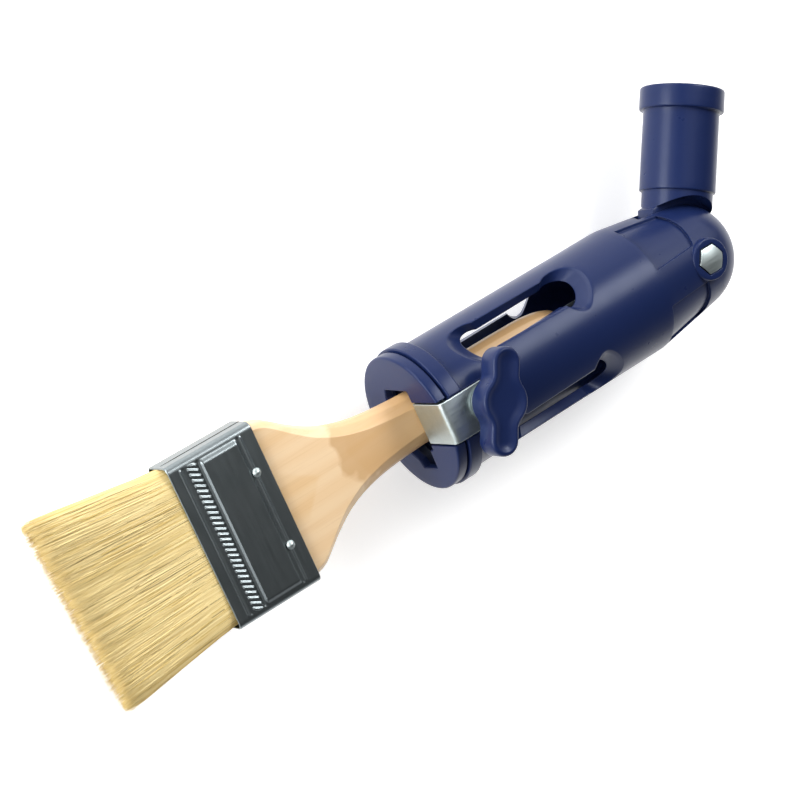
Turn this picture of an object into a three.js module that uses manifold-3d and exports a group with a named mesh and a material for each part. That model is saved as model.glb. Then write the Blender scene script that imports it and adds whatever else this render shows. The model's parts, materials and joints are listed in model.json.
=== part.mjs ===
// Paint-brush extender: a jointed pole socket, a slotted barrel with a screw clamp,
// and a flat wooden-handled brush held in the clamp.
//
// Frame: +X runs back along the barrel from its mouth, +Z is the side with the clamp
// knob and the hinge bolt head, +Y is the side that the pole socket bends towards.
// Everything is laid out from the centre of the barrel's mouth, then the finished
// tool is set down with its lowest point at Z = 0 under the middle of its box.

import * as THREE from "three";
import { mergeVertices } from "three/addons/utils/BufferGeometryUtils.js";
import Module from "manifold-3d";

const wasm = await Module();
wasm.setup();

const GAP = 0.3;
const ROUND = 48;
const SMALL_ROUND = 24;
const FAR = 200;

// Barrel
const BARREL_R = 26.1;
const BAND_R = 28.2;
const WALL = 2.6;
const RING_LENGTH = 4.4;
const GROOVE = 0.8;
const BAND_END = 11.1;
const TAPER_START = 108.5;
const DOME_X = 136.4;
const DOME_R = 21.8;
const CAVITY_END = 102;

// Shallow panels beside the raised strip that carries the hinge boss
const PANEL_START = 108;
const PANEL_CORNER = 121.5;
const PANEL_REAR = 125;
const PANEL_INNER_Y = 7.7;
const PANEL_DEPTH = 0.7;

// Hinge
const PIVOT_X = 134;
const SLOT_HALF = 5.4;
const SLOT_R = 26;
const BOSS_R = 8.2;
const BOSS_Z = 24.1;
const BOLT_R = 2.9;
const BOLT_HOLE_R = 3.3;
const HEX_ACROSS_FLATS = 10;
const HEAD_HEIGHT = 4;
const HEAD_RECESS = 3.5;
const NUT_HEIGHT = 5;
const WASHER_R = 7;
const WASHER_THICKNESS = 1.2;

// Side windows in the barrel
const WINDOW_ANGLES = [42, 138, 222, 318];
const WINDOW_SMALL = { x: 31.5, r: 4.4 };
const WINDOW_LARGE = { x: 68.5, r: 7.2 };
const WINDOW_NECK = 3.6;
const WINDOW_RIM = 3.4;
const WINDOW_RIM_DEPTH = 1.4;

// Clamp
const PLATE_WIDTH = 16;
const PLATE_THICKNESS = 1;
const PLATE_INNER_Z = 6.9;
const PLATE_OUTER_Z = 26.5;
const PLATE_INNER_END = 79;
const PLATE_OUTER_END = 29;
const CLAMP_X = 18.2;
const KNOB_BACK_Z = 31.6;
const KNOB_THICKNESS = 9.4;
const KNOB_TURN = 61;
const NUT_TOP = BARREL_R - WALL - 0.5;

// Wing knobs
const KNOB_LENGTH = 39;
const KNOB_HUB_R = 9.2;
const KNOB_LOBE_R = 5.6;
const KNOB_EDGE = 1.4;
const KNOB_WALL = 1.4;
const HINGE_KNOB_Z = -BOSS_Z - 2 * GAP - WASHER_THICKNESS;

// Pole socket, measured from the pivot along its own axis
const BEND = 58.8;
const TONGUE_R = 17;
const TONGUE_HALF = 5;
const SHOULDER_R = 24.2;
const SHOULDER_HALF = 17.6;
const NECK_R = 13.9;
const NECK_CLEAR_R = 24.7;
const TUBE_R = 14.9;
const TUBE_START = 27.1;
const RIM_R = 16.6;
const RIM_START = 58.9;
const SOCKET_END = 67.8;
const POLE_HOLE_R = 9.7;
const POLE_HOLE_DEPTH = 30;

// Brush
const BRUSH_Y = 1.3;
const BRUSH_TILT = -0.6;
const FERRULE_WIDTH = 63.5;
const FERRULE_THICKNESS = 16.4;
const FERRULE_FRONT = -95.9;
const FERRULE_BACK = -60.6;
const SHEET = 0.5;
const HANDLE_THICKNESS = 13;
const HANDLE_END = 77;
const BRISTLE_TIP = -145.5;
const TIP_WIDTH = 73;
const RESIN_FRONT = -89;
const RESIN_BACK = -76;
const NAIL_X = -66;
const NAIL_Y = 14.4;

const paint = {
  blue: { color: 0x27336b, roughness: 0.45, metalness: 0 },
  steel: { color: 0xb9c0c0, roughness: 0.3, metalness: 1 },
  gunmetal: { color: 0x5a5f66, roughness: 0.35, metalness: 1 },
  pine: { color: 0xe0b67c, roughness: 0.6, metalness: 0 },
  bristle: { color: 0xe8d59a, roughness: 0.8, metalness: 0 },
  resin: { color: 0x6b4a2a, roughness: 0.5, metalness: 0 },
};

// ---------- solids ----------

function solid(geometry) {
  const bare = geometry.clone();
  bare.deleteAttribute("normal");
  bare.deleteAttribute("uv");
  const merged = mergeVertices(bare, 1e-4);
  return new wasm.Manifold(
    new wasm.Mesh({
      numProp: 3,
      vertProperties: merged.attributes.position.array,
      triVerts: new Uint32Array(merged.index.array),
    }),
  );
}

function geometryOf(body) {
  const mesh = body.getMesh();
  const geometry = new THREE.BufferGeometry();
  geometry.setAttribute("position", new THREE.BufferAttribute(mesh.vertProperties, 3));
  geometry.setIndex(new THREE.BufferAttribute(mesh.triVerts, 1));
  geometry.computeVertexNormals();
  return geometry;
}

function piece(name, body, look) {
  const mesh = new THREE.Mesh(geometryOf(body), new THREE.MeshStandardMaterial(look));
  mesh.name = name;
  return mesh;
}

function union(bodies) {
  return bodies.reduce((all, next) => all.add(next));
}

// A box between two corners.
function block(low, high) {
  const geometry = new THREE.BoxGeometry(high[0] - low[0], high[1] - low[1], high[2] - low[2]);
  geometry.translate((low[0] + high[0]) / 2, (low[1] + high[1]) / 2, (low[2] + high[2]) / 2);
  return solid(geometry);
}

// A round bar parallel to Z.
function bar(x, y, z0, z1, radius, sides = SMALL_ROUND) {
  const geometry = new THREE.CylinderGeometry(radius, radius, z1 - z0, sides);
  geometry.rotateX(Math.PI / 2);
  geometry.translate(x, y, (z0 + z1) / 2);
  return solid(geometry);
}

// A hexagonal bar parallel to Z.
function hexBar(x, y, z0, z1, acrossFlats) {
  return bar(x, y, z0, z1, acrossFlats / Math.sqrt(3), 6);
}

// A solid of revolution about the X axis from [x, radius] pairs, closed on the axis.
function turned(profile, sides = ROUND) {
  const points = profile.map(([x, r]) => new THREE.Vector2(r, x));
  const geometry = new THREE.LatheGeometry(points, sides);
  geometry.rotateZ(-Math.PI / 2);
  return solid(geometry);
}

// An outline in X and Y raised along Z.
function slab(outline, z0, z1, bevel = 0) {
  const geometry = new THREE.ExtrudeGeometry(outline, {
    depth: z1 - z0 - 2 * bevel,
    bevelEnabled: bevel > 0,
    bevelThickness: bevel,
    bevelSize: bevel,
    bevelOffset: -bevel,
    bevelSegments: 3,
    curveSegments: 5,
  });
  geometry.translate(0, 0, z0 + bevel);
  return solid(geometry);
}

// An outline given in Y and Z, run along X from x0 to x1.
function lengthwise(outline, x0, x1, steps = 1) {
  const geometry = new THREE.ExtrudeGeometry(outline, {
    depth: x1 - x0,
    steps,
    bevelEnabled: false,
    curveSegments: 6,
  });
  geometry.applyMatrix4(new THREE.Matrix4().set(0, 0, 1, x0, 1, 0, 0, 0, 0, 1, 0, 0, 0, 0, 0, 1));
  return solid(geometry);
}

function roundedRectangle(width, height, radius) {
  const shape = new THREE.Shape();
  const w = width / 2;
  const h = height / 2;
  shape.moveTo(-w + radius, -h);
  shape.lineTo(w - radius, -h);
  shape.absarc(w - radius, -h + radius, radius, -Math.PI / 2, 0);
  shape.lineTo(w, h - radius);
  shape.absarc(w - radius, h - radius, radius, 0, Math.PI / 2);
  shape.lineTo(-w + radius, h);
  shape.absarc(-w + radius, h - radius, radius, Math.PI / 2, Math.PI);
  shape.lineTo(-w, -h + radius);
  shape.absarc(-w + radius, -h + radius, radius, Math.PI, 1.5 * Math.PI);
  return shape;
}

// ---------- barrel and its front ring ----------

// The barrel's outer surface from startX back, drawn in by inset.
function barrelProfile(startX, inset) {
  const lean = Math.asin((BARREL_R - DOME_R) / (DOME_X - TAPER_START));
  const radius = DOME_R - inset;
  const profile = [
    [startX, 0],
    [startX, BAND_R - inset],
    [BAND_END - 1, BAND_R - inset],
    [BAND_END, BARREL_R - inset],
    [TAPER_START, BARREL_R - inset],
  ];
  const steps = 10;
  for (let i = 0; i <= steps; i += 1) {
    const angle = lean + ((Math.PI / 2 - lean) * i) / steps;
    profile.push([DOME_X + radius * Math.sin(angle), i === steps ? 0 : radius * Math.cos(angle)]);
  }
  return profile;
}

// A window's keyhole outline, widened by extra, in X and the distance round the barrel.
function windowOutline(extra) {
  const small = WINDOW_SMALL.r + extra;
  const large = WINDOW_LARGE.r + extra;
  const neck = WINDOW_NECK + extra;
  const smallAngle = Math.asin(neck / small);
  const largeAngle = Math.asin(neck / large);
  const shape = new THREE.Shape();
  shape.absarc(WINDOW_SMALL.x, 0, small, smallAngle, 2 * Math.PI - smallAngle);
  shape.absarc(WINDOW_LARGE.x, 0, large, Math.PI + largeAngle, Math.PI - largeAngle + 2 * Math.PI);
  return shape;
}

function windowCut(angle) {
  const through = slab(windowOutline(0), BARREL_R / 2, FAR);
  const rim = slab(windowOutline(WINDOW_RIM), BARREL_R - WINDOW_RIM_DEPTH, FAR);
  return through.add(rim).rotate([angle, 0, 0]);
}

// Shallow panels beside the raised strip that carries the hinge boss.
function panelCuts() {
  const outline = new THREE.Shape();
  outline.moveTo(PANEL_START, PANEL_INNER_Y);
  outline.lineTo(PANEL_CORNER, PANEL_INNER_Y);
  outline.quadraticCurveTo(PANEL_REAR + 0.5, PANEL_INNER_Y + 4.3, PANEL_REAR, BARREL_R - 2);
  outline.lineTo(PANEL_REAR, BAND_R + 2);
  outline.lineTo(PANEL_START, BAND_R + 2);
  const above = turned(barrelProfile(BAND_END + 10, -1));
  const skin = above.subtract(turned(barrelProfile(BAND_END + 9, PANEL_DEPTH)));
  const near = slab(outline, 0, FAR);
  const both = near.add(near.mirror([0, 1, 0]));
  return both.add(both.mirror([0, 0, 1])).intersect(skin);
}

// The thick place inside the barrel that holds the clamp's nut.
function nutBlock() {
  const half = 8;
  return block([CLAMP_X - half, -half, NUT_TOP - NUT_HEIGHT], [CLAMP_X + half, half, BARREL_R - 1]);
}

function makeBarrel() {
  const start = RING_LENGTH + GROOVE;
  const cavityR = BARREL_R - WALL;
  const cavity = turned([
    [start - 1, 0],
    [start - 1, cavityR],
    [CAVITY_END, cavityR],
    [CAVITY_END + 3, 0],
  ]);
  const swing = bar(PIVOT_X, 0, -SLOT_HALF, SLOT_HALF, SLOT_R, ROUND);
  let body = turned(barrelProfile(start, 0)).subtract(panelCuts());
  body = body.add(bar(PIVOT_X, 0, -BOSS_Z, BOSS_Z, BOSS_R, ROUND));
  body = body.subtract(cavity).add(nutBlock()).subtract(swing);
  body = body.subtract(union(WINDOW_ANGLES.map(windowCut)));
  body = body.subtract(block([0, -PLATE_WIDTH / 2 - 0.6, PLATE_OUTER_Z - GAP], [40, PLATE_WIDTH / 2 + 0.6, FAR]));
  body = body.subtract(bar(PIVOT_X, 0, -FAR, FAR, BOLT_HOLE_R));
  body = body.subtract(hexBar(PIVOT_X, 0, BOSS_Z - HEAD_RECESS - GAP, FAR, HEX_ACROSS_FLATS + 2 * GAP));
  body = body.subtract(hexBar(CLAMP_X, 0, 0, NUT_TOP + GAP, HEX_ACROSS_FLATS + 2 * GAP));
  return body.subtract(bar(CLAMP_X, 0, 0, FAR, BOLT_HOLE_R));
}

// The opening that a brush handle goes in through, with a side notch for wide handles.
function mouthOutline() {
  const shape = new THREE.Shape();
  shape.moveTo(-18.5, -4.5);
  shape.lineTo(-15.5, -5.5);
  shape.lineTo(-12.5, -9.5);
  shape.lineTo(10.5, -9.5);
  shape.lineTo(13.8, -7.5);
  shape.lineTo(13.2, 8);
  shape.lineTo(-10.8, 8);
  shape.lineTo(-10.8, 5.6);
  shape.lineTo(-18.5, 5.2);
  shape.closePath();
  return shape;
}

function makeFrontCap() {
  const spigotR = BARREL_R - WALL - GAP;
  const body = turned([
    [0, 0],
    [0, BAND_R - 0.9],
    [0.3, BAND_R - 0.3],
    [0.9, BAND_R],
    [RING_LENGTH - 0.3, BAND_R],
    [RING_LENGTH, BAND_R - 0.4],
    [RING_LENGTH, spigotR],
    [CLAMP_X - 9, spigotR],
    [CLAMP_X - 9, 0],
  ]);
  const bore = turned([
    [RING_LENGTH - 1.2, 0],
    [RING_LENGTH - 1.2, spigotR - 2.5],
    [CLAMP_X, spigotR - 2.5],
    [CLAMP_X, 0],
  ]);
  const notch = block([-1, -PLATE_WIDTH / 2 - 0.8, PLATE_INNER_Z - 1], [CLAMP_X, PLATE_WIDTH / 2 + 0.8, FAR]);
  return body.subtract(bore).subtract(lengthwise(mouthOutline(), -1, CLAMP_X)).subtract(notch);
}

// ---------- clamp ----------

// A strip bent round the mouth: a long leg on the handle, a short leg on the barrel.
function makeClampPlate() {
  const bend = 2.2;
  const low = PLATE_INNER_Z;
  const high = PLATE_OUTER_Z + PLATE_THICKNESS;
  const inner = bend - PLATE_THICKNESS;
  const strip = new THREE.Shape();
  strip.moveTo(PLATE_INNER_END, low);
  strip.lineTo(bend, low);
  strip.absarc(bend, low + bend, bend, -Math.PI / 2, -Math.PI, true);
  strip.lineTo(0, high - bend);
  strip.absarc(bend, high - bend, bend, Math.PI, Math.PI / 2, true);
  strip.lineTo(PLATE_OUTER_END, high);
  strip.lineTo(PLATE_OUTER_END, high - PLATE_THICKNESS);
  strip.lineTo(bend, high - PLATE_THICKNESS);
  strip.absarc(bend, high - bend, inner, Math.PI / 2, Math.PI);
  strip.lineTo(PLATE_THICKNESS, low + bend);
  strip.absarc(bend, low + bend, inner, -Math.PI, -Math.PI / 2);
  strip.lineTo(PLATE_INNER_END, low + PLATE_THICKNESS);
  strip.closePath();
  const geometry = new THREE.ExtrudeGeometry(strip, {
    depth: PLATE_WIDTH,
    bevelEnabled: false,
    curveSegments: 5,
  });
  geometry.rotateX(Math.PI / 2);
  geometry.translate(0, PLATE_WIDTH / 2, 0);
  return solid(geometry).subtract(bar(CLAMP_X, 0, PLATE_OUTER_Z - 5, FAR, BOLT_HOLE_R));
}

// A wing knob's outline: a round hub with a rounded lobe on each side.
function knobOutline() {
  const reach = KNOB_LENGTH / 2 - KNOB_LOBE_R;
  const shape = new THREE.Shape();
  const hubAngle = 0.78;
  const waistX = KNOB_HUB_R * Math.cos(hubAngle) + 1.6;
  for (const turn of [0, Math.PI]) {
    const c = Math.cos(turn);
    shape.absarc(reach * c, 0, KNOB_LOBE_R, turn - Math.PI / 2, turn + Math.PI / 2);
    shape.quadraticCurveTo(waistX * c, KNOB_LOBE_R * c, KNOB_HUB_R * Math.cos(hubAngle) * c,
      KNOB_HUB_R * Math.sin(hubAngle) * c);
    shape.absarc(0, 0, KNOB_HUB_R, turn + hubAngle, turn + Math.PI - hubAngle);
    shape.quadraticCurveTo(-waistX * c, KNOB_LOBE_R * c, -reach * c, KNOB_LOBE_R * c);
  }
  return shape;
}

// A wing knob with its back at z = 0 and a blind hexagonal pocket in that back.
function wingKnob(pocket) {
  const body = slab(knobOutline(), 0, KNOB_THICKNESS, KNOB_EDGE);
  return body.subtract(hexBar(0, 0, -1, pocket, HEX_ACROSS_FLATS + 2 * GAP));
}

function makeClampKnob() {
  return wingKnob(HEAD_HEIGHT + GAP).rotate([0, 0, KNOB_TURN]).translate([CLAMP_X, 0, KNOB_BACK_Z]);
}

function makeClampScrew() {
  const tip = PLATE_INNER_Z + PLATE_THICKNESS + GAP;
  const shank = bar(CLAMP_X, 0, tip, KNOB_BACK_Z + 1, BOLT_R);
  const head = hexBar(0, 0, 0, HEAD_HEIGHT, HEX_ACROSS_FLATS).rotate([0, 0, KNOB_TURN]);
  return shank.add(head.translate([CLAMP_X, 0, KNOB_BACK_Z]));
}

function ringBar(x, z0, z1, outer, inner) {
  return bar(x, 0, z0, z1, outer).subtract(bar(x, 0, z0 - 1, z1 + 1, inner));
}

function makeClampWasher() {
  const z = PLATE_OUTER_Z + PLATE_THICKNESS + GAP;
  return ringBar(CLAMP_X, z, z + WASHER_THICKNESS, WASHER_R, BOLT_HOLE_R);
}

function makeClampNut() {
  const nut = hexBar(CLAMP_X, 0, NUT_TOP - NUT_HEIGHT, NUT_TOP, HEX_ACROSS_FLATS);
  return nut.subtract(bar(CLAMP_X, 0, 0, FAR, BOLT_HOLE_R));
}

// ---------- hinge hardware ----------

function makeHingeBolt() {
  const underHead = BOSS_Z - HEAD_RECESS;
  const shank = bar(PIVOT_X, 0, HINGE_KNOB_Z - KNOB_THICKNESS + KNOB_WALL + 1, underHead + 1, BOLT_R);
  return shank.add(hexBar(PIVOT_X, 0, underHead, underHead + HEAD_HEIGHT, HEX_ACROSS_FLATS));
}

function makeHingeWasher() {
  return ringBar(PIVOT_X, -BOSS_Z - GAP - WASHER_THICKNESS, -BOSS_Z - GAP, WASHER_R, BOLT_HOLE_R);
}

function makeHingeNut() {
  const nut = hexBar(PIVOT_X, 0, HINGE_KNOB_Z - NUT_HEIGHT, HINGE_KNOB_Z, HEX_ACROSS_FLATS);
  return nut.subtract(bar(PIVOT_X, 0, -FAR, 0, BOLT_HOLE_R));
}

function makeHingeKnob() {
  const knob = wingKnob(NUT_HEIGHT + GAP).subtract(bar(0, 0, -1, KNOB_THICKNESS - KNOB_WALL, BOLT_HOLE_R));
  return knob.rotate([180, 0, 0]).translate([PIVOT_X, 0, HINGE_KNOB_Z]);
}

// ---------- pole socket, built along +X from the pivot ----------

function tonguePlate() {
  const shape = new THREE.Shape();
  const start = Math.acos(NECK_R / TONGUE_R);
  shape.moveTo(TUBE_START + 1, -NECK_R);
  shape.lineTo(TUBE_START + 1, NECK_R);
  shape.lineTo(TONGUE_R * Math.sin(start), NECK_R);
  shape.absarc(0, 0, TONGUE_R, Math.PI / 2 - start, 1.5 * Math.PI + start);
  const plate = slab(shape, -TONGUE_HALF, TONGUE_HALF);
  const shoulder = bar(0, 0, -TONGUE_HALF, TONGUE_HALF, SHOULDER_R, ROUND);
  const band = block([12, -SHOULDER_HALF, -FAR], [FAR, SHOULDER_HALF, FAR]);
  return plate.add(shoulder.intersect(band));
}

function makePoleSocket() {
  const rounded = 0.8;
  const neck = turned([[12, 0], [12, NECK_R], [TUBE_START + 1, NECK_R], [TUBE_START + 1, 0]]);
  const clear = bar(0, 0, -FAR, FAR, NECK_CLEAR_R, ROUND);
  const tube = turned([
    [TUBE_START, 0],
    [TUBE_START, TUBE_R - rounded],
    [TUBE_START + rounded, TUBE_R],
    [RIM_START, TUBE_R],
    [RIM_START, RIM_R - rounded],
    [RIM_START + rounded, RIM_R],
    [SOCKET_END - rounded, RIM_R],
    [SOCKET_END, RIM_R - rounded],
    [SOCKET_END, 0],
  ]);
  const hole = turned([
    [SOCKET_END - POLE_HOLE_DEPTH, 0],
    [SOCKET_END - POLE_HOLE_DEPTH, POLE_HOLE_R],
    [SOCKET_END - 1.5, POLE_HOLE_R],
    [SOCKET_END + 0.5, POLE_HOLE_R + 2],
    [SOCKET_END + 0.5, 0],
  ]);
  const body = union([neck.subtract(clear), tonguePlate(), tube]);
  return body.subtract(hole).subtract(bar(0, 0, -FAR, FAR, BOLT_HOLE_R));
}

// ---------- brush, in its own lengthwise frame ----------

// Half the handle's width at a distance x along it.
const HANDLE_HALF_WIDTHS = [
  [-86, 30.6],
  [-59, 30.6],
  [-55, 29.6],
  [-46, 22.8],
  [-38, 17.8],
  [-30, 14.4],
  [-21, 12.2],
  [-12, 11.1],
  [0, 10.2],
  [30, 9.2],
  [58, 7.6],
];

function handleOutline() {
  const edge = HANDLE_HALF_WIDTHS.map(([x, y]) => new THREE.Vector2(x, y));
  const shape = new THREE.Shape();
  shape.moveTo(RESIN_BACK + GAP, 30.6);
  shape.lineTo(edge[1].x, edge[1].y);
  shape.splineThru(edge.slice(2));
  shape.bezierCurveTo(HANDLE_END - 8, 6.6, HANDLE_END, 6, HANDLE_END, 0);
  shape.bezierCurveTo(HANDLE_END, -6, HANDLE_END - 8, -6.6, 58, -7.6);
  shape.splineThru(edge.slice(1, -1).reverse().map((p) => new THREE.Vector2(p.x, -p.y)));
  shape.lineTo(RESIN_BACK + GAP, -30.6);
  return shape;
}

function nailPlaces() {
  const places = [];
  for (const side of [1, -1]) {
    for (const y of [NAIL_Y, -NAIL_Y]) {
      places.push({ y, side });
    }
  }
  return places;
}

function nailHoles() {
  return union(nailPlaces().map(({ y, side }) =>
    side > 0 ? bar(NAIL_X, y, 0.5, FAR, 0.95, 12) : bar(NAIL_X, y, -FAR, -0.5, 0.95, 12)));
}

function makeHandle() {
  return slab(handleOutline(), -HANDLE_THICKNESS / 2, HANDLE_THICKNESS / 2, 3).subtract(nailHoles());
}

function makeFerrule() {
  const outer = roundedRectangle(FERRULE_WIDTH, FERRULE_THICKNESS, 5);
  const inner = roundedRectangle(FERRULE_WIDTH - 2 * SHEET, FERRULE_THICKNESS - 2 * SHEET, 4.5);
  const body = lengthwise(outer, FERRULE_FRONT, FERRULE_BACK);
  const hollow = lengthwise(inner, FERRULE_FRONT - 1, FERRULE_BACK + 1);
  return body.subtract(hollow).subtract(nailHoles());
}

function makeNail({ y, side }) {
  const face = FERRULE_THICKNESS / 2 + GAP / 2;
  const shank = bar(NAIL_X, y, 2, face + 0.5, 0.6, 12);
  const head = bar(NAIL_X, y, face, face + 0.8, 1.6, 16);
  const nail = shank.add(head);
  return side > 0 ? nail : nail.mirror([0, 0, 1]);
}

function packedOutline(margin) {
  const width = FERRULE_WIDTH - 2 * SHEET - 2 * margin;
  return roundedRectangle(width, FERRULE_THICKNESS - 2 * SHEET - 2 * margin, 4);
}

function spacer(extra) {
  const low = [RESIN_FRONT - 8 - extra, -24 - extra, -1.6 - extra];
  return block(low, [RESIN_BACK - 3 + extra, 24 + extra, 1.6 + extra]);
}

function makeResinPlug() {
  return lengthwise(packedOutline(GAP), RESIN_FRONT, RESIN_BACK).subtract(spacer(GAP));
}

// One row of bristles, side +1 or -1: a wedge that widens from the ferrule to the tip.
function makeBristles(side) {
  const section = packedOutline(GAP);
  const held = lengthwise(section, FERRULE_FRONT, RESIN_FRONT - GAP);
  const free = lengthwise(section, BRISTLE_TIP, FERRULE_FRONT, 5).warp((v) => {
    const along = (FERRULE_FRONT - v[0]) / (FERRULE_FRONT - BRISTLE_TIP);
    v[1] *= 1 + along * (TIP_WIDTH / FERRULE_WIDTH - 1);
    v[2] *= 1 - 0.25 * along * along;
  });
  const half = block([-FAR, -FAR, GAP / 2], [0, FAR, FAR]);
  const row = held.add(free).intersect(side > 0 ? half : half.mirror([0, 0, 1]));
  return row.subtract(spacer(GAP));
}

// ---------- assembly ----------

const barrelGroup = new THREE.Group();
barrelGroup.add(
  piece("barrel", makeBarrel(), paint.blue),
  piece("front_cap", makeFrontCap(), paint.blue),
  piece("clamp_plate", makeClampPlate(), paint.steel),
  piece("clamp_screw", makeClampScrew(), paint.steel),
  piece("clamp_knob", makeClampKnob(), paint.blue),
  piece("clamp_washer", makeClampWasher(), paint.steel),
  piece("clamp_nut", makeClampNut(), paint.steel),
  piece("hinge_bolt", makeHingeBolt(), paint.steel),
  piece("hinge_washer", makeHingeWasher(), paint.steel),
  piece("hinge_nut", makeHingeNut(), paint.steel),
  piece("hinge_knob", makeHingeKnob(), paint.blue),
);

const socketGroup = new THREE.Group();
socketGroup.position.set(PIVOT_X, 0, 0);
socketGroup.rotation.z = THREE.MathUtils.degToRad(BEND);
socketGroup.add(piece("pole_socket", makePoleSocket(), paint.blue));

const brushGroup = new THREE.Group();
brushGroup.position.set(0, BRUSH_Y, 0);
brushGroup.rotation.z = THREE.MathUtils.degToRad(BRUSH_TILT);
brushGroup.add(
  piece("brush_handle", makeHandle(), paint.pine),
  piece("ferrule", makeFerrule(), paint.gunmetal),
  piece("resin_plug", makeResinPlug(), paint.resin),
  piece("spacer_plug", spacer(0), paint.pine),
  piece("bristles_front", makeBristles(1), paint.bristle),
  piece("bristles_back", makeBristles(-1), paint.bristle),
);
nailPlaces().forEach((place, i) => {
  brushGroup.add(piece(`ferrule_nail_${i + 1}`, makeNail(place), paint.steel));
});

const tool = new THREE.Group();
tool.add(barrelGroup, socketGroup, brushGroup);
tool.updateMatrixWorld(true);
const box = new THREE.Box3().setFromObject(tool, true);
const middle = box.getCenter(new THREE.Vector3());
tool.position.set(-middle.x, -middle.y, -box.min.z);

export default tool;
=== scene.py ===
import json
import math

import bpy
import bmesh
import numpy as np
from mathutils import Matrix, Vector


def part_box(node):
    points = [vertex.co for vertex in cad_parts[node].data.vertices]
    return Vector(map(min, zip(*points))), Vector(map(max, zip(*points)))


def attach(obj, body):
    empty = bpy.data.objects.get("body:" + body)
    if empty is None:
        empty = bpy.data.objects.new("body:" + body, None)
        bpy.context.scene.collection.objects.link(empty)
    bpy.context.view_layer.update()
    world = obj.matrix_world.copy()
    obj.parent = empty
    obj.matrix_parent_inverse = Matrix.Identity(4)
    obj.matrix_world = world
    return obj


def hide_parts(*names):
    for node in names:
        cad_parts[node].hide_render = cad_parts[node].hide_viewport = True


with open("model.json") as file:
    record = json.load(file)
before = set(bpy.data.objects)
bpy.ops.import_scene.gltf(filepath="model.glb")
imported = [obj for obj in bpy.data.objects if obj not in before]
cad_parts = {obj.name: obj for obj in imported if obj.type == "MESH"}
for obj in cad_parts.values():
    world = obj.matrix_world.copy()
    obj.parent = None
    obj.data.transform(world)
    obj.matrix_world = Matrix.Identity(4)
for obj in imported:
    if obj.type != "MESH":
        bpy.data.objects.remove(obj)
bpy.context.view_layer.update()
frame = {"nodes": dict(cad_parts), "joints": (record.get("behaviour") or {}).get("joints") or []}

# Shapes are in millimetres, measured from the middle of the barrel's mouth: +X runs back
# along the barrel, +Z is the knob's side and +Y the side the socket bends to. The stage and
# the materials are in metres.
MM = 0.001
PIVOT_X = 134.0
PIVOT = next(j for j in frame["joints"] if j["name"] == "socket_tilt")["pos_m"]
ORIGIN = np.array(PIVOT) - np.array((PIVOT_X * MM, 0, 0))
SEED = 7


def from_frame(node):
    """A node's lowest and highest corner in this script's millimetres."""
    low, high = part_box(node)
    return (np.array(low) - ORIGIN) / MM, (np.array(high) - ORIGIN) / MM


def middle(low, high):
    """The x and y halfway between two corners."""
    return (low[0] + high[0]) / 2, (low[1] + high[1]) / 2


CAP_LOW, CAP_HIGH = from_frame("front_cap")
PLATE_LOW, PLATE_HIGH = from_frame("clamp_plate")
KNOB_LOW, KNOB_HIGH = from_frame("clamp_knob")
HINGE_KNOB_TOP = from_frame("hinge_knob")[1][2]
BOLT_LOW, BOLT_HIGH = from_frame("hinge_bolt")
NUT_LOW, NUT_HIGH = from_frame("clamp_nut")

# A turned shape's profile ends this near its axis, and cuts reach this far past the tool.
AXIS_R = 0.02
OUTSIDE = 60.0

# Barrel and front ring
BARREL_R = 26.1
BAND_R = -CAP_LOW[2]
MOUTH_BORE_R = 23.5
CAVITY_R = 22.1
RING_R = BAND_R - 0.9
RING_LENGTH = 4.4
RING_FACE_T = 3.2
SPIGOT_R = MOUTH_BORE_R - 0.3
SPIGOT_WALL = 2.5
BAND_START = 5.2
BAND_END = 11.1
TAPER_START = 108.5
DOME_X = 136.4
DOME_R = 21.8
CAVITY_END = 102.0
SLOT_HALF = 5.4
SLOT_R = 26.0
BOSS_R = 8.2
BOSS_Z = 24.1
PANEL_START = 108.8
PANEL_EDGE = 7.6
PANEL_DEPTH = 1.1
NUT_BLOCK_HALF = 8.0

# Side windows, drawn along Y, above and below: the front end's middle (x, z) and half sizes,
# the neck's half height, and the rear end like the front one.
WINDOW_OUTSIDE = ((28.8, 16.3, 9.0, 7.0), 5.6, (74.0, 16.8, 8.9, 7.6))
WINDOW_INSIDE = ((32.4, 13.6, 5.9, 5.9), 4.5, (71.2, 13.2, 6.6, 5.7))
UNDER_OUTSIDE = ((28.8, 16.9, 9.0, 7.6), 6.5, (74.0, 17.0, 8.9, 7.9))
UNDER_INSIDE = ((31.5, 14.2, 6.8, 6.8), 4.6, (71.6, 13.9, 7.0, 6.8))
WINDOW_TOP = 0.93 * CAVITY_R

# Clamp, knobs and screws
CLAMP_X = middle(*from_frame("clamp_washer"))[0]
HOLE_R = 3.3
SCREW_R = 2.9
SCREW_PITCH = 1.0
THREAD_DEPTH = 0.5
HEX_R = 10 / math.sqrt(3)
HEX_POCKET_R = 10.6 / math.sqrt(3)
HEAD_HEIGHT = 4.0
HEAD_SINK = 3.8
KNOB_LENGTH = 39.0
KNOB_HUB_R = 9.2
KNOB_LOBE_R = 5.6
KNOB_HUB_ANGLE = 47
KNOB_WAIST_R = 9.0
CLAMP_KNOB_TURN = 61
CLAMP_POCKET = 4.3
HINGE_POCKET = 5.3
KNOB_TOP_T = 2.4
PLATE_HALF = PLATE_HIGH[1]
PLATE_T = 1.0
PLATE_BEND_R = 2.3
PLATE_TOP_END = 29.0
PLATE_TAIL_END = PLATE_HIGH[0] + 4
PLATE_FLARE = 0.22
PLATE_FLARE_START = 64.0
PLATE_FLARE_END = 69.0

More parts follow.
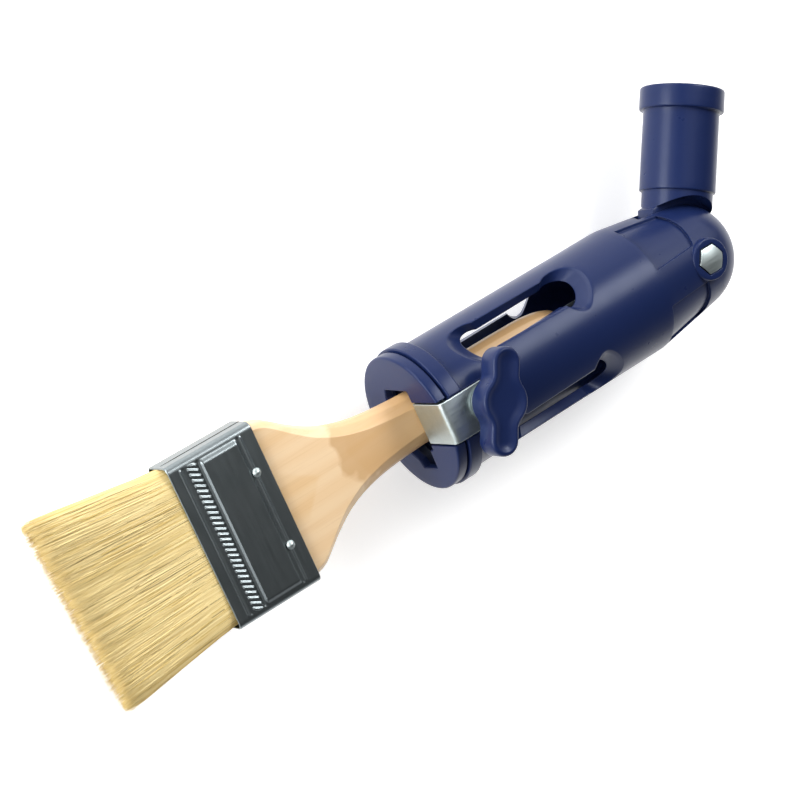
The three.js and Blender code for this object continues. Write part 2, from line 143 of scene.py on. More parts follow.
# Pole socket, along its own axis from the pivot
BEND = math.radians(58.8)
TONGUE_R = 17.0
TONGUE_HALF = 5.0
SHOULDER_R = 24.2
SHOULDER_HALF = 15.0
NECK_R = 13.9
NECK_CLEAR_R = 20.1
NECK_CLEAR_X = 5.0
TUBE_R = 14.9
TUBE_START = 27.1
RIM_R = 16.6
RIM_START = 58.9
SOCKET_END = 67.8
BORE_R = 9.7
BORE_DEPTH = 30.0
BORE_CHAMFER = 2.0
POLE_PITCH = 5.08
POLE_RIDGE = 0.09

# Brush, in its own lengthwise frame
BRUSH_Y = 1.3
BRUSH_TILT = math.radians(-0.6)
FERRULE_HALF = 31.75
FERRULE_T = 8.2
FERRULE_FRONT = -95.9
FERRULE_BACK = -60.6
FERRULE_SHEET = 0.5
FERRULE_CORNER_R = 2.6
SEAM_Z = 0.9
SEAM_HALF = 0.5
HATCH_X = -86.7
HATCH_PITCH = 2.1
HATCH_SLANT = -0.53
NAIL_HEAD_R = 1.75
NAIL_SHANK_R = 0.6
HANDLE_T = 6.5
HANDLE_NOSE = 9.0
HANDLE_END = 77.0
TIP_X = -145.5
TIP_HALF = 36.5
TIP_SLANT = 2.0
TIP_THINNING = 0.28
TUFT_GAP = 0.9
HAIRS_IN_ROW = 4900
CLUMPS_IN_ROW = 70
CORE_RIBS = 141


def metres(points):
    """This script's millimetres as a place in the frame, in metres."""
    return np.asarray(points, float) * MM + ORIGIN


# ---------- camera, floor and light ----------

CAMERA_PLACE = (-341.3, 197.0, 697.8)
CAMERA_BACK = (-0.4275, 0.2343, 0.8732)
CAMERA_UP = (0.4691, 0.8831, -0.0073)
CAMERA_LENS = 98.6

# The walls' light fades to the ceiling's between these two heights on the unit sphere.
WALL_LIGHT = 0.52
WALL_TOP = 0.1
CEILING_LIGHT = 0.09
CEILING_START = 0.5

FLOOR_HALF = 5.0
FLOOR_GLOW = 0.42
SOFTBOX_TARGET = (20, 0, 0)
SOFTBOX_DISTANCE = 1.1
SOFTBOX_UP = (0.05, 0.02, 1)

# Each softbox: the way to it, its width and height in metres, its power in watts.
SOFTBOXES = {
    "left": ((-0.85, 0.50, 0.20), 0.7, 0.5, 9),
    "back": ((-0.20, 0.97, 0.15), 0.8, 0.5, 5.5),
    "right": ((0.75, 0.35, 0.55), 0.7, 0.7, 3),
    "front_left": ((-0.90, 0.10, 0.35), 0.7, 0.6, 4.2),
    "high_back": ((-0.45, 0.75, 0.45), 0.7, 0.6, 1.3),
    "high_left": ((-0.60, 0.20, 0.75), 0.7, 0.6, 1.2),
    "top": ((0.10, 0.35, 0.93), 0.7, 0.7, 1.4),
    "low_right": ((0.65, 0.75, 0.15), 0.8, 0.5, 1.6),
    "key": ((0.43, 0.74, 0.52), 0.8, 0.6, 0.8),
    "small": ((0.53, 0.41, 0.74), 0.45, 0.42, 6),
}


def aim(obj, place, back, up):
    """Puts an object at a place, looking away from back."""
    back = Vector(back).normalized()
    right = Vector(up).cross(back).normalized()
    turn = Matrix((right, back.cross(right), back)).transposed().to_4x4()
    obj.matrix_world = Matrix.Translation(Vector(place)) @ turn


def make_camera():
    data = bpy.data.cameras.new("camera")
    data.sensor_width = 36
    data.lens = CAMERA_LENS
    data.clip_start = 0.02
    camera = bpy.data.objects.new("camera", data)
    bpy.context.scene.collection.objects.link(camera)
    aim(camera, metres(CAMERA_PLACE), CAMERA_BACK, CAMERA_UP)
    bpy.context.scene.camera = camera


def make_light(name, direction, width, height, power):
    data = bpy.data.lights.new(name, "AREA")
    data.shape = "RECTANGLE"
    data.size = width
    data.size_y = height
    data.energy = power
    light = bpy.data.objects.new(name, data)
    bpy.context.scene.collection.objects.link(light)
    back = Vector(direction).normalized()
    aim(light, Vector(metres(SOFTBOX_TARGET)) + back * SOFTBOX_DISTANCE, back, SOFTBOX_UP)


def make_world():
    """Pale walls all round the stage, with a dim ceiling."""
    world = bpy.data.worlds.new("studio")
    world.use_nodes = True
    tree = world.node_tree
    background = tree.nodes["Background"]
    background.inputs["Color"].default_value = (0.97, 0.98, 1.0, 1)
    way = tree.nodes.new("ShaderNodeTexCoord")
    height = tree.nodes.new("ShaderNodeSeparateXYZ")
    tree.links.new(way.outputs["Generated"], height.inputs["Vector"])
    fade = tree.nodes.new("ShaderNodeMapRange")
    tree.links.new(height.outputs["Z"], fade.inputs["Value"])
    limits = {"From Min": WALL_TOP, "From Max": CEILING_START,
              "To Min": WALL_LIGHT, "To Max": CEILING_LIGHT}
    for name, value in limits.items():
        fade.inputs[name].default_value = value
    tree.links.new(fade.outputs["Result"], background.inputs["Strength"])
    bpy.context.scene.world = world


def make_floor():
    """A wide sheet of white paper that glows a little, as if lit from all round."""
    half = FLOOR_HALF
    corners = [(-half, -half, 0), (half, -half, 0), (half, half, 0), (-half, half, 0)]
    mesh = bpy.data.meshes.new("floor")
    mesh.from_pydata(corners, [], [(0, 1, 2, 3)])
    floor = bpy.data.objects.new("floor", mesh)
    bpy.context.scene.collection.objects.link(floor)
    shader = Shader("floor_paper", (0.93, 0.93, 0.93), 0.9)
    shader.noise_bump(900, 0.15, 0.0002)
    shader.set("Emission Color", (1, 1, 1, 1))
    shader.set("Emission Strength", FLOOR_GLOW)
    mesh.materials.append(shader.material)


def set_stage():
    make_camera()
    make_world()
    for name, softbox in SOFTBOXES.items():
        make_light(name, *softbox)
    bpy.context.scene.view_settings.view_transform = "Standard"


# ---------- materials ----------

class Shader:
    """A node material around one Principled shader."""

    def __init__(self, name, color, roughness, metallic=0.0):
        self.material = bpy.data.materials.new(name)
        self.material.use_nodes = True
        self.tree = self.material.node_tree
        self.body = self.tree.nodes["Principled BSDF"]
        self.set("Base Color", (*color, 1))
        self.set("Roughness", roughness)
        self.set("Metallic", metallic)
        self.material.diffuse_color = (*color, 1)
        self.normal = None
        self.place = self.add("ShaderNodeTexCoord").outputs["Object"]

    def add(self, kind, links=(), **settings):
        """Adds a node; links fills inputs by name with values or other nodes' outputs."""
        node = self.tree.nodes.new(kind)
        for key, value in settings.items():
            setattr(node, key, value)
        for key, value in dict(links).items():
            if isinstance(value, bpy.types.NodeSocket):
                self.tree.links.new(value, node.inputs[key])
            else:
                node.inputs[key].default_value = value
        return node

    def stretched(self, scale):
        links = {"Vector": self.place, "Scale": scale}
        return self.add("ShaderNodeMapping", links).outputs["Vector"]

    def noise(self, scale, detail=3.0, place=None):
        links = {"Vector": place or self.place, "Scale": scale, "Detail": detail}
        return self.add("ShaderNodeTexNoise", links).outputs["Fac"]

    def ramp(self, value, low, high, out_low=0.0, out_high=1.0):
        links = {"Value": value, "From Min": low, "From Max": high,
                 "To Min": out_low, "To Max": out_high}
        return self.add("ShaderNodeMapRange", links).outputs["Result"]

    def mix(self, amount, first, second):
        node = self.add("ShaderNodeMix", data_type="RGBA")
        for slot, value in ((0, amount), (6, first), (7, second)):
            if isinstance(value, bpy.types.NodeSocket):
                self.tree.links.new(value, node.inputs[slot])
            else:
                node.inputs[slot].default_value = value if slot == 0 else (*value, 1)
        return node.outputs[2]

    def maths(self, operation, first, second):
        return self.add("ShaderNodeMath", {0: first, 1: second}, operation=operation).outputs[0]

    def bump(self, height, strength, distance):
        links = {"Height": height, "Strength": strength, "Distance": distance}
        if self.normal:
            links["Normal"] = self.normal
        self.normal = self.add("ShaderNodeBump", links).outputs["Normal"]
        self.use("Normal", self.normal)

    def noise_bump(self, scale, strength, distance):
        self.bump(self.noise(scale), strength, distance)

    def soften_edges(self, radius):
        self.normal = self.add("ShaderNodeBevel", {"Radius": radius}, samples=8).outputs["Normal"]

    def set(self, socket, value):
        self.body.inputs[socket].default_value = value

    def use(self, socket, value):
        self.tree.links.new(value, self.body.inputs[socket])

    def tint_by(self, amount, first, second):
        """Colours the body from one shade to another."""
        self.use("Base Color", self.mix(amount, first, second))


def blue_plastic():
    shader = Shader("blue_plastic", (0.0079, 0.0158, 0.065), 0.29)
    shader.set("Specular IOR Level", 0.23)
    shader.set("Specular Tint", (0.82, 0.88, 1.0, 1))
    shader.soften_edges(0.00035)
    shader.tint_by(shader.noise(28, 2), (0.0072, 0.0145, 0.060), (0.0086, 0.0172, 0.070))
    shader.use("Roughness", shader.ramp(shader.noise(160, 4), 0.0, 1.0, 0.25, 0.33))
    shader.noise_bump(900, 0.05, 0.00006)
    shader.noise_bump(4000, 0.02, 0.00003)
    return shader.material


def zinc_steel():
    shader = Shader("zinc_steel", (0.60, 0.61, 0.58), 0.26, 1.0)
    shader.soften_edges(0.0002)
    shader.tint_by(shader.noise(220, 4), (0.47, 0.54, 0.54), (0.60, 0.67, 0.67))
    brushed = shader.noise(900, 4, shader.stretched((0.06, 1, 1)))
    shader.use("Roughness", shader.ramp(brushed, 0.3, 0.7, 0.34, 0.48))
    shader.bump(brushed, 0.08, 0.00004)
    shader.noise_bump(2600, 0.10, 0.00005)
    return shader.material


def ferrule_steel():
    shader = Shader("ferrule_steel", (0.27, 0.30, 0.305), 0.3, 1.0)
    shader.tint_by(shader.noise(90, 3), (0.21, 0.245, 0.255), (0.28, 0.31, 0.32))
    brushed = shader.noise(1100, 4, shader.stretched((1, 0.05, 1)))
    shader.use("Roughness", shader.ramp(brushed, 0.3, 0.7, 0.29, 0.34))
    shader.noise_bump(50, 0.08, 0.0003)
    shader.bump(brushed, 0.01, 0.00001)
    return shader.material


# Brown heartwood begins about 30 mm in front of the barrel's mouth. Its edge is ragged: noise
# adds up to HEART_RAGGED to x before x is held against HEART_START. All in metres.
HEART_START = -0.002
HEART_FADE = 0.003
HEART_RAGGED = 0.06


def pine_wood():
    pale, ring, blond = (0.79, 0.56, 0.32), (0.71, 0.43, 0.18), (0.86, 0.66, 0.44)
    fleck, heart = (0.55, 0.33, 0.15), (0.56, 0.33, 0.14)
    shader = Shader("pine_wood", (0.84, 0.62, 0.38), 0.48)
    place = shader.stretched((0.16, 1.0, 1.3))
    rings = shader.add("ShaderNodeTexWave", {"Vector": place, "Scale": 38.0, "Distortion": 9.0,
                       "Detail": 2.5, "Detail Scale": 1.2}, bands_direction="Y")
    grain = shader.ramp(rings.outputs["Fac"], 0.15, 0.95, 0.0, 0.45)
    fibre = shader.noise(1500, 4, shader.stretched((0.03, 1, 1)))
    moved = shader.add("ShaderNodeVectorMath", {0: shader.place, 1: (0.02, 0.02, 0.0)},
                       operation="ADD")
    cells = shader.add("ShaderNodeTexVoronoi", {"Vector": moved.outputs[0], "Scale": 42.0,
                       "Smoothness": 0.12}, feature="SMOOTH_F1")
    patch = shader.ramp(cells.outputs["Color"], 0.25, 0.75)
    color = shader.mix(grain, pale, ring)
    color = shader.mix(shader.maths("MULTIPLY", patch, 0.5), color, blond)
    color = shader.mix(shader.ramp(fibre, 0.52, 0.78, 0.0, 0.22), color, fleck)
    axis = shader.add("ShaderNodeSeparateXYZ", {"Vector": shader.place}).outputs["X"]
    ragged = shader.maths("ADD", axis, shader.maths("MULTIPLY", shader.noise(32, 4), HEART_RAGGED))
    start = ORIGIN[0] + HEART_START
    shader.tint_by(shader.ramp(ragged, start, start + HEART_FADE, 0.0, 0.72), color, heart)
    shader.use("Roughness", shader.ramp(fibre, 0.3, 0.7, 0.38, 0.55))
    shader.set("Coat Weight", 0.25)
    shader.set("Coat Roughness", 0.3)
    shader.bump(fibre, 0.18, 0.00008)
    return shader.material


def bristle():
    """Each hair gets its own shade: most are cream to straw, some golden and a few brown."""
    cream, straw = (0.81, 0.665, 0.325), (0.70, 0.535, 0.22)
    golden, brown = (0.58, 0.41, 0.12), (0.30, 0.22, 0.08)
    shader = Shader("bristle", (0.76, 0.60, 0.30), 0.5)
    island = shader.add("ShaderNodeNewGeometry").outputs["Random Per Island"]
    color = shader.mix(shader.ramp(island, 0, 0.78), cream, straw)
    color = shader.mix(shader.ramp(island, 0.80, 0.82), color, golden)
    color = shader.mix(shader.ramp(island, 0.935, 0.945), color, brown)
    clump = shader.noise(150, 3, shader.stretched((0.14, 1, 1)))
    color = shader.mix(shader.ramp(clump, 0.54, 0.72, 0.0, 0.5), color, (0.52, 0.39, 0.13))
    streak = shader.noise(700, 3, shader.stretched((0.035, 1, 1)))
    shader.tint_by(shader.ramp(streak, 0.60, 0.72, 0.0, 0.25), color, (0.40, 0.30, 0.12))
    shader.use("Roughness", shader.ramp(streak, 0.3, 0.7, 0.42, 0.6))
    shader.bump(streak, 0.1, 0.0001)
    return shader.material


def brush_resin():
    shader = Shader("brush_resin", (0.16, 0.09, 0.035), 0.35)
    shader.tint_by(shader.noise(300), (0.11, 0.06, 0.02), (0.22, 0.13, 0.05))
    shader.noise_bump(900, 0.4, 0.0003)
    return shader.material


# Painted shadow: a near-black material that stands in for the shade inside a narrow gap.
def painted_gap_shadow():
    shader = Shader("painted_gap_shadow", (0.006, 0.006, 0.006), 0.8)
    shader.tint_by(shader.noise(900), (0.003, 0.003, 0.003), (0.010, 0.009, 0.008))
    shader.set("Specular IOR Level", 0.05)
    shader.noise_bump(1500, 0.2, 0.0001)
    return shader.material


# ---------- shapes ----------

def offset(outline, distance):
    """An anticlockwise outline moved outwards, or inwards when distance is negative."""
    points = np.asarray(outline, float)
    along = np.roll(points, -1, axis=0) - points
    along /= np.linalg.norm(along, axis=1)[:, None]
    after = np.stack([along[:, 1], -along[:, 0]], axis=1)
    before = np.roll(after, 1, axis=0)
    turn = 1 + (after * before).sum(axis=1)
    return points + (after + before) * (distance / np.maximum(turn, 0.4))[:, None]


def fillet(points, radius, closed=False, steps=4):
    """Rounds an outline's corners. radius is one number or one for each point."""
    points = [np.array(p, float) for p in points]
    count = len(points)
    radii = [radius] * count if np.isscalar(radius) else radius
    rounded = []
    for i, corner in enumerate(points):
        if radii[i] == 0 or (not closed and i in (0, count - 1)):
            rounded.append(corner)
            continue
        back = points[i - 1] - corner
        on = points[(i + 1) % count] - corner
        back_length, on_length = np.linalg.norm(back), np.linalg.norm(on)
        back, on = back / back_length, on / on_length
        half = math.acos(np.clip(back @ on, -1, 1)) / 2
        longest = 0.48 * min(back_length, on_length)
        cut = min(radii[i] / math.tan(half), longest)
        for t in np.linspace(0, 1, steps + 1):
            near = corner + back * cut * (1 - t) ** 2
            rounded.append(near + on * cut * t ** 2)
    return rounded


def dense(points, step):
    """The same line with extra points, none further apart than step."""
    result = []
    for a, b in zip(points[:-1], points[1:]):
        a, b = np.array(a, float), np.array(b, float)
        parts = max(1, math.ceil(np.linalg.norm(b - a) / step))
        result += [a + (b - a) * i / parts for i in range(parts)]
    return result + [np.array(points[-1], float)]


def between(a, b, parts):
    """The points that split a straight stretch, without its ends."""
    a, b = np.array(a, float), np.array(b, float)
    return [tuple(a + (b - a) * i / parts) for i in range(1, parts)]


def arc(x, y, radius, start, end, steps, radius_y=None):
    """Points on an arc, with its angles in degrees."""
    angles = np.radians(np.linspace(start, end, steps + 1))
    tall = radius if radius_y is None else radius_y
    return [(x + radius * math.cos(a), y + tall * math.sin(a)) for a in angles]


def outward(obj):
    """Turns an object's faces outwards."""
    work = bmesh.new()
    work.from_mesh(obj.data)
    bmesh.ops.recalc_face_normals(work, faces=work.faces)
    work.to_mesh(obj.data)
    work.free()
    return obj


def solid(verts, faces):
    """A working object, with its faces turned outwards."""
    mesh = bpy.data.meshes.new("work")
    mesh.from_pydata([tuple(v) for v in np.asarray(verts, float)], [], faces)
    obj = bpy.data.objects.new("work", mesh)
    bpy.context.scene.collection.objects.link(obj)
    return outward(obj)


def loft(rings, wrap=False):
    """Joins rings of points, each as long as the next, into a closed body."""
    rings = np.asarray(rings, float)
    count, size = rings.shape[:2]
    faces = []
    for i in range(count if wrap else count - 1):
        a, b = i * size, (i + 1) % count * size
        faces += [(a + j, a + (j + 1) % size, b + (j + 1) % size, b + j) for j in range(size)]
    if not wrap:
        faces += [tuple(range(size)), tuple(range((count - 1) * size, count * size))]
    return solid(rings.reshape(-1, 3), faces)


def turned(profile, segments=192, wrap=False):
    """A body of revolution about X from (x, radius) points."""
    angles = np.linspace(0, 2 * math.pi, segments, endpoint=False)
    round_y, round_z = np.sin(angles), np.cos(angles)
    rings = [np.stack([np.full(segments, x), r * round_y, r * round_z], axis=1) for x, r in profile]
    return loft(rings, wrap)


def upright(profile, x=0.0, y=0.0, segments=64, wrap=False):
    """A body of revolution about a vertical line from (z, radius) points."""
    body = turned(profile, segments, wrap)
    body.data.transform(Matrix(((0, 0, 1, x), (0, 1, 0, y), (1, 0, 0, 0), (0, 0, 0, 1))))
    return outward(body)


def stack(layers):
    """A closed body from outlines in X and Y, each at its own height."""
    rings = [[(x, y, z) for x, y in outline] for outline, z in layers]
    return loft(rings)


def block(low, high):
    (x0, y0, z0), (x1, y1, z1) = low, high
    outline = [(x0, y0), (x1, y0), (x1, y1), (x0, y1)]
    return stack([(outline, z0), (outline, z1)])


def hexagon(radius, x=0.0, turn=0.0):
    angles = [math.radians(turn + 60 * i) for i in range(6)]
    return [(x + radius * math.cos(a), radius * math.sin(a)) for a in angles]


def round_cut(radius, x, low, high, segments=64):
    """An upright cylinder, for holes and round clearances."""
    return upright([(low, radius), (high, radius)], x, segments=segments)


def bake(obj):
    """Replaces an object's mesh with the result of its modifiers."""
    depsgraph = bpy.context.evaluated_depsgraph_get()
    mesh = bpy.data.meshes.new_from_object(obj.evaluated_get(depsgraph))
    obj.modifiers.clear()
    obj.data = mesh


def combine(target, others, operation="DIFFERENCE"):
    """Cuts the others from the target, or joins or intersects them with it."""
    for other in others:
        modifier = target.modifiers.new("combine", "BOOLEAN")
        modifier.operation = operation
        modifier.solver = "MANIFOLD"
        modifier.object = other
        bake(target)
        bpy.data.objects.remove(other)
    return target


def publish(obj, name, slot, body, nodes, crease=32, place=None):
    """Moves a finished working object into the frame and gives it its body and material."""
    if place is not None:
        obj.data.transform(place)
    obj.data.transform(Matrix.Diagonal((MM, MM, MM, 1)))
    obj.data.transform(Matrix.Translation(Vector(ORIGIN)))
    obj.name = name
    obj.data.name = name
    obj.data.materials.clear()
    obj.data.materials.append(LOOKS[slot])
    obj.data.shade_smooth()
    obj.data.set_sharp_from_angle(angle=math.radians(crease))
    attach(obj, body)
    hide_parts(*nodes)
    return obj


def thread(z0, z1, x):
    """An upright threaded rod, with its thread fading out at both ends."""
    segments, steps_in_turn, lead_in = 32, 6, 0.8
    steps = int((z1 - z0) / SCREW_PITCH * steps_in_turn)
    rings = []
    for z in np.linspace(z0, z1, steps + 1):
        ring = []
        fade = min(1.0, (z - z0) / lead_in, (z1 - z) / lead_in)
        for i in range(segments):
            turn = i / segments
            angle = 2 * math.pi * turn
            phase = (z / SCREW_PITCH - turn) % 1.0
            r = SCREW_R - THREAD_DEPTH * (1 - fade * (1 - abs(2 * phase - 1)))
            ring.append((x + r * math.cos(angle), r * math.sin(angle), z))
        rings.append(ring)
    return loft(rings)


# ---------- barrel ----------

def barrel_profile(inset=0.0, start=BAND_START):
    """The barrel's outside as (x, radius): the band, the tube, its taper and the round end."""
    lean = math.asin((BARREL_R - DOME_R) / (DOME_X - TAPER_START))
    radius = DOME_R - inset
    line = [(start, AXIS_R), (start, BAND_R - inset), (BAND_END, BAND_R - inset),
            (BAND_END, BARREL_R - inset), (TAPER_START, BARREL_R - inset)]
    line.append((DOME_X + radius * math.sin(lean), radius * math.cos(lean)))
    rounding = [0, 0.6, 0.7, 0.5, 30, 0]
    line = fillet(line, rounding, steps=8)[1:]
    dome = [(DOME_X + radius * math.sin(a), max(AXIS_R, radius * math.cos(a)))
            for a in np.linspace(lean, math.pi / 2, 36)[1:]]
    return dense(line + dome, 3.0)


def keyhole(small, neck, large):
    """A window's outline in X and Z: two rounded ends joined by a straight neck."""
    ends = []
    for (x, z, long, tall), turn, steps in ((small, 0, 44), (large, 180, 48)):
        angle = math.degrees(math.asin(neck / tall))
        ends.append(arc(x, z, long, angle - turn, 360 - angle - turn, steps, tall))
    left, right = ends
    return np.array(left + between(left[-1], right[0], 10) + right + between(right[-1], left[0], 10))


def window_cut(side_y, side_z):
    """A window with its walls drawn along Y and a wide slope at each end."""
    shapes = (WINDOW_OUTSIDE, WINDOW_INSIDE) if side_z > 0 else (UNDER_OUTSIDE, UNDER_INSIDE)
    outside, inside = (keyhole(*shape) for shape in shapes)
    inside[:, 1] = np.minimum(inside[:, 1], WINDOW_TOP)

    def level(outline, radius, out=0.0):
        """The outline laid on a cylinder about X, then moved out along Y."""
        x, z = outline.T
        return np.column_stack([x, np.sqrt(radius ** 2 - z ** 2) + out, z])

    wall_foot = CAVITY_R - 0.05
    low, high = level(inside, wall_foot), level(outside, BARREL_R)
    rings = [level(inside, wall_foot, -4)]
    rings += [low + (high - low) * t for t in (0, 0.25, 0.5, 0.75, 0.9)]
    lip = [(0.04, -0.14), (0.16, -0.06), (0.36, -0.01), (0.6, 0.03)]
    rings += [level(offset(outside, out), BARREL_R + up) for out, up in lip]
    rings.append(level(offset(outside, 0.6), BARREL_R, 8))
    return loft(np.array(rings) * (1, side_y, side_z))


def panel_cut(side_y, side_z):
    """One shallow panel beside the raised strip that carries the hinge boss."""
    rear = [(130.6, PANEL_EDGE), (131.5, 11), (131.9, 15), (131.2, 19), (128.6, 22.5), (125.5, 30)]
    rounding = [0.4, 0.6, 2, 2, 2, 2, 0, 0]
    corners = [(PANEL_START, PANEL_EDGE)] + rear + [(PANEL_START, 30)]
    outline = fillet(corners, rounding, closed=True)
    if side_y * side_z < 0:
        outline = outline[::-1]
    points = [(x, side_y * y) for x, y in outline]
    cut = stack([(points, (PANEL_EDGE + 0.1) * side_z), (points, 40 * side_z)])
    return combine(cut, [turned(barrel_profile(PANEL_DEPTH, 60))])


def boss():
    """The round boss that goes right through both hinge cheeks."""
    edge = fillet([(SLOT_HALF, BOSS_R), (BOSS_Z, BOSS_R), (BOSS_Z, AXIS_R)], 0.9, steps=5)
    profile = [(-z, r) for z, r in reversed(edge)] + edge
    return upright(profile, PIVOT_X, segments=96)


def hex_recess():
    """The pocket for the hinge bolt's head, with a chamfered edge."""
    chamfer = 0.35
    outline = hexagon(HEX_POCKET_R, PIVOT_X)
    return stack([(outline, BOSS_Z - HEAD_SINK), (outline, BOSS_Z - chamfer),
                  (offset(outline, chamfer), BOSS_Z + 0.02), (offset(outline, 0.6), BOSS_Z + 2)])


def barrel_cavity():
    """The hollow from the front ring to the hinge, wider where the ring's spigot goes in."""
    front, step = BAND_START - 2, CAP_HIGH[0] + 1.2
    corners = [(front, AXIS_R), (front, MOUTH_BORE_R), (step, MOUTH_BORE_R),
               (step + 1, CAVITY_R), (CAVITY_END, CAVITY_R), (CAVITY_END + 3, AXIS_R)]
    return turned(dense(fillet(corners, 0.6), 5.0)[1:])


def nut_block():
    """The block under the barrel's wall that holds the clamp nut."""
    half = NUT_BLOCK_HALF
    return block((CLAMP_X - half, -half, NUT_LOW[2]), (CLAMP_X + half, half, BARREL_R - 1))


def strip_channel():
    """The flat cut in the barrel's front edge that the clamp strip lies in."""
    half = PLATE_HALF + 0.6
    return block((0, -half, PLATE_HIGH[2] - 1.3), (40, half, OUTSIDE))


def make_barrel():
    body = turned(barrel_profile(), 256)
    combine(body, [panel_cut(y, z) for y in (1, -1) for z in (1, -1)])
    combine(body, [boss()], "UNION")
    combine(body, [barrel_cavity()])
    combine(body, [nut_block()], "UNION")
    combine(body, [round_cut(SLOT_R, PIVOT_X, -SLOT_HALF, SLOT_HALF, 160)])
    combine(body, [window_cut(y, z) for y in (1, -1) for z in (1, -1)])
    outline = hexagon(HEX_POCKET_R, CLAMP_X)
    pocket = stack([(outline, 0), (outline, NUT_HIGH[2] + 0.3)])
    combine(body, [strip_channel(), round_cut(HOLE_R, PIVOT_X, -OUTSIDE, OUTSIDE), hex_recess(),
                   pocket, round_cut(HOLE_R, CLAMP_X, 0, OUTSIDE)])
    publish(body, "barrel_moulding", "blue_plastic", "holder", ["barrel"])


def mouth_outline():
    """The stepped opening that a brush handle goes in through, in Y and Z."""
    corners = [(-18.5, -4.5), (-15.5, -5.5), (-12.5, -9.5), (10.5, -9.5), (13.8, -7.5),
               (13.2, 8), (-10.8, 8), (-10.8, 5.6), (-18.5, 5.2)]
    return fillet(corners, 0.6, closed=True, steps=3)


def make_front_cap():
    """The ring on the barrel's front and the spigot behind it that fits in the barrel."""
    end, behind = CAP_HIGH[0], 20
    outer = [(0, AXIS_R), (0, RING_R), (RING_LENGTH, RING_R), (RING_LENGTH, SPIGOT_R),
             (end, SPIGOT_R), (end, AXIS_R)]
    outer = fillet(outer, [0, 1.0, 0.45, 0.2, 0.3, 0], steps=5)
    body = turned(dense(outer, 4.0), 256)
    bore_r = SPIGOT_R - SPIGOT_WALL
    bore = [(RING_FACE_T, AXIS_R), (RING_FACE_T, bore_r), (behind, bore_r), (behind, AXIS_R)]
    lip = [(-2, 0.6), (-0.05, 0.45), (0.35, 0.05), (0.5, 0), (behind, 0)]
    rings = [[(x, y, z) for y, z in offset(mouth_outline(), out)] for x, out in lip]
    half = PLATE_HALF + 0.8
    notch = block((-2, -half, PLATE_LOW[2] - 1), (behind, half, OUTSIDE))
    combine(body, [turned(bore), loft(rings), notch])
    publish(body, "front_ring", "blue_plastic", "holder", ["front_cap"])


# ---------- clamp and hinge ----------

def make_plate():
    """The strip bent round the mouth: its inner leg, its front and its outer leg."""
    half = PLATE_T / 2
    low, high = PLATE_LOW[2] + half, PLATE_HIGH[2] - half
    ends = [(PLATE_TAIL_END, low), (half, low), (half, high), (PLATE_TOP_END, high)]
    path = np.array(dense(fillet(ends, PLATE_BEND_R - half, steps=10), 3.0))
    slope = np.gradient(path, axis=0)
    slope /= np.linalg.norm(slope, axis=1)[:, None]
    corners = [(-half, -PLATE_HALF), (half, -PLATE_HALF), (half, PLATE_HALF), (-half, PLATE_HALF)]
    section = dense(fillet(corners, 0.28, closed=True, steps=3), 4.0)
    rings = []
    for (x, z), (dx, dz) in zip(path, slope):
        wide = 1 + PLATE_FLARE * smooth_step(x, PLATE_FLARE_START, PLATE_FLARE_END)
        rings.append([(x - dz * n, y * wide, z + dx * n) for n, y in section])
    body = loft(rings)
    combine(body, [round_cut(HOLE_R, CLAMP_X, 20, OUTSIDE)])
    publish(body, "clamp_strip", "zinc_steel", "holder", ["clamp_plate"], crease=40)


def knob_outline():
    """A round hub with a rounded lobe on each side."""
    hub_r, lobe_r, hub_angle = KNOB_HUB_R, KNOB_LOBE_R, KNOB_HUB_ANGLE
    reach = KNOB_LENGTH / 2 - lobe_r
    hub_x = hub_r * math.cos(math.radians(hub_angle))
    hub_y = hub_r * math.sin(math.radians(hub_angle))
    right = arc(reach, 0, lobe_r, -90, 90, 20)
    corners = [(reach, lobe_r), (hub_x + 2.2, lobe_r - 0.1), (hub_x, hub_y)]
    waist = fillet(corners, KNOB_WAIST_R, steps=7)[1:-1]
    top = arc(0, 0, hub_r, hub_angle, 180 - hub_angle, 22)
    half = right + [tuple(p) for p in waist] + top + [(-x, y) for x, y in reversed(waist)]
    return half + [(-x, -y) for x, y in half]


def wing_knob(height):
    """A wing knob on z = 0 with rounded edges and a dished face inside its rim."""
    outline = knob_outline()
    foot = [(-1.0, 0), (-0.45, 0.12), (-0.12, 0.45), (0, 1.0)]
    rim = [(0.1, 1.5), (-0.05, 0.9), (-0.3, 0.42), (-0.7, 0.1), (-1.15, 0)]
    dish = [(-1.6, 0.1), (-2.1, 0.38), (-2.8, 0.75), (-3.5, 1.0), (-4.2, 1.15), (-4.8, 1.2)]
    layers = foot + [(out, height - drop) for out, drop in rim + dish]
    return stack([(offset(outline, out), z) for out, z in layers])


def hex_pocket(depth):
    """The pocket under a knob that holds a bolt's head or a nut."""
    outline = hexagon(HEX_POCKET_R)
    return stack([(outline, -1), (outline, depth)])


def make_knobs():
    height = KNOB_HIGH[2] - KNOB_LOW[2]
    turn = Matrix.Rotation(math.radians(CLAMP_KNOB_TURN), 4, "Z")
    place = Matrix.Translation((CLAMP_X, 0, KNOB_LOW[2])) @ turn
    knob = combine(wing_knob(height), [hex_pocket(CLAMP_POCKET)])
    publish(knob, "clamp_wing_knob", "blue_plastic", "clamp_knob", ["clamp_knob"], 40, place)
    turn = Matrix.Rotation(math.pi, 4, "X")
    place = Matrix.Translation((PIVOT_X, 0, HINGE_KNOB_TOP)) @ turn
    bolt_hole = round_cut(HOLE_R, 0, -1, height - KNOB_TOP_T)
    knob = combine(wing_knob(height), [hex_pocket(HINGE_POCKET), bolt_hole])
    publish(knob, "hinge_wing_knob", "blue_plastic", "hinge_knob", ["hinge_knob"], 40, place)


